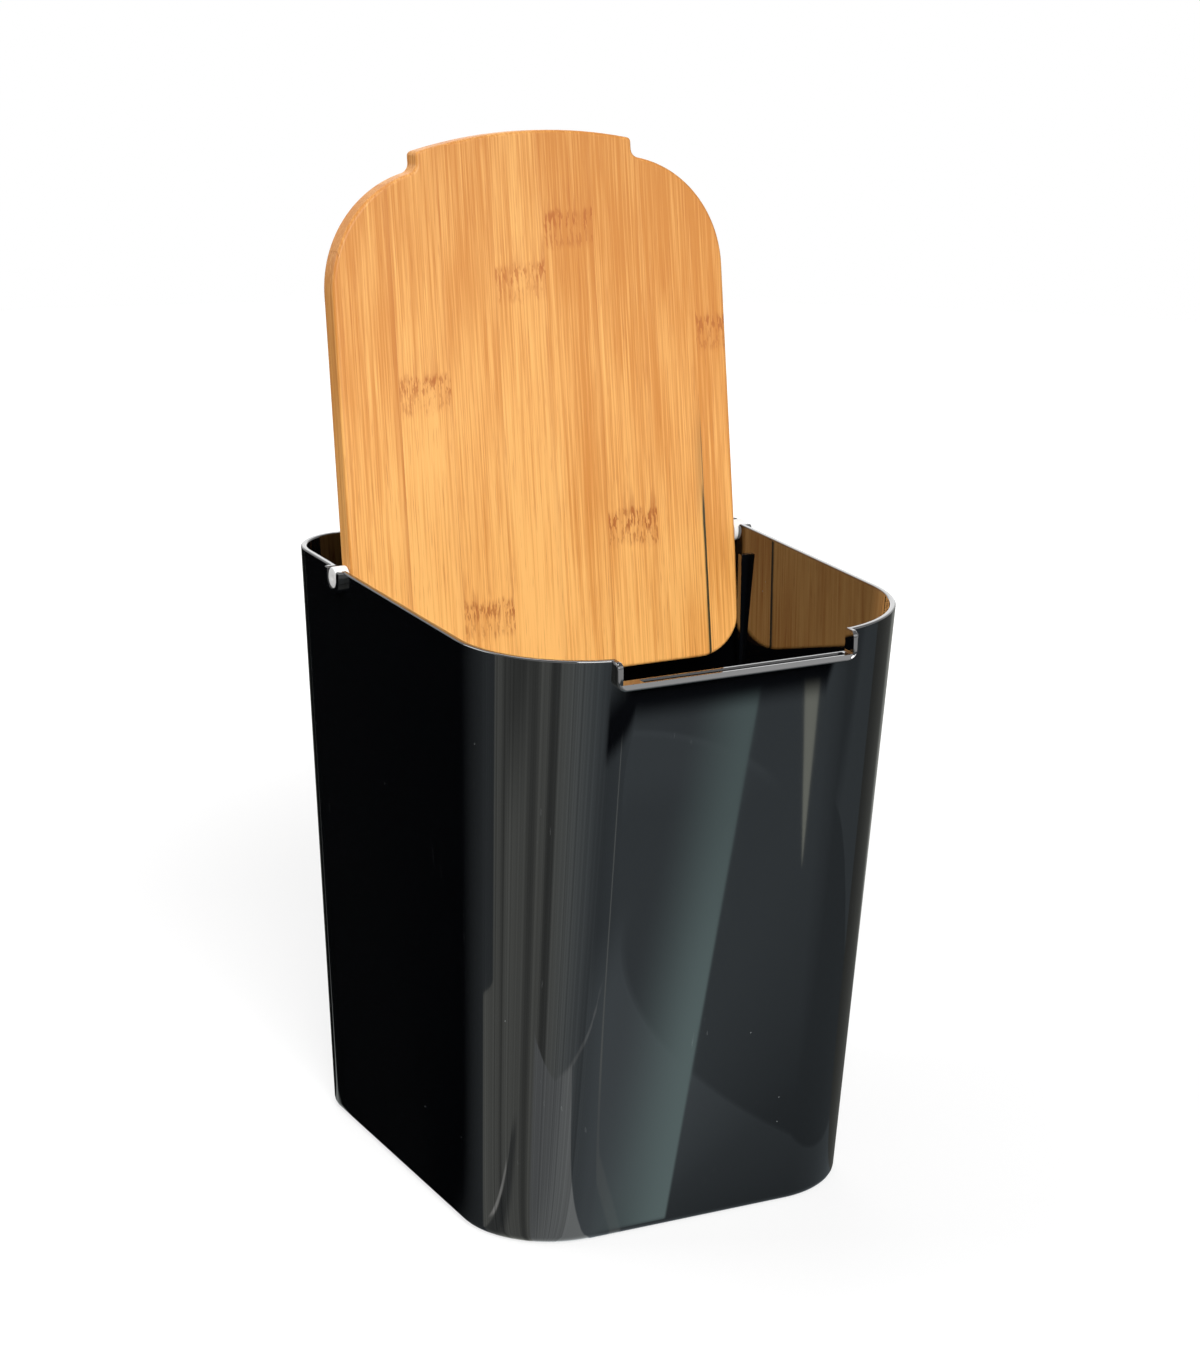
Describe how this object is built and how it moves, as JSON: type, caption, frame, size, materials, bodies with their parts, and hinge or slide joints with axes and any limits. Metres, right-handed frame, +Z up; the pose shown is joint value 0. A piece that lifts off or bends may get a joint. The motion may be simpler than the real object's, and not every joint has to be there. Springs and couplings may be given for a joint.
{
  "type": "swing lid waste bin",
  "caption": "Small bathroom bin: tapered glossy tub with round front corners, a bamboo swing lid on nylon pins in open wall notches, and a front slot that takes the lid's finger tab.",
  "frame": {"origin": "on the underside of the base, below the middle of the rim", "axes": "+Z up, -Y towards the front with the slot for the lid's tab, +X to the right seen from the front"},
  "size_m": [0.172, 0.204, 0.3777],
  "materials": {
    "tub_plastic": "polished black injection moulding",
    "lid_bamboo": "lacquered edge-glued bamboo",
    "pin_nylon": "natural white nylon"
  },
  "bodies": {
    "tub": {"bin_body": "tub_plastic"},
    "pins": {"left_pivot_pin": "pin_nylon", "right_pivot_pin": "pin_nylon"},
    "lid": {"lid_lath_1": "lid_bamboo", "lid_lath_2": "lid_bamboo", "lid_lath_3": "lid_bamboo", "lid_lath_4": "lid_bamboo", "lid_lath_5": "lid_bamboo", "lid_lath_6": "lid_bamboo", "lid_lath_7": "lid_bamboo", "lid_lath_8": "lid_bamboo", "lid_lath_9": "lid_bamboo"}
  },
  "joints": [
    {"name": "lid_lift", "type": "slide", "parent": "tub", "child": "pins", "axis": [0, 0, 1], "range_m": [0, 0.06]},
    {"name": "lid_swing", "type": "hinge", "parent": "pins", "child": "lid", "pos_m": [0, 0.0498, 0.2217], "axis": [1, 0, 0], "range_deg": [0, 98]}
  ]
}
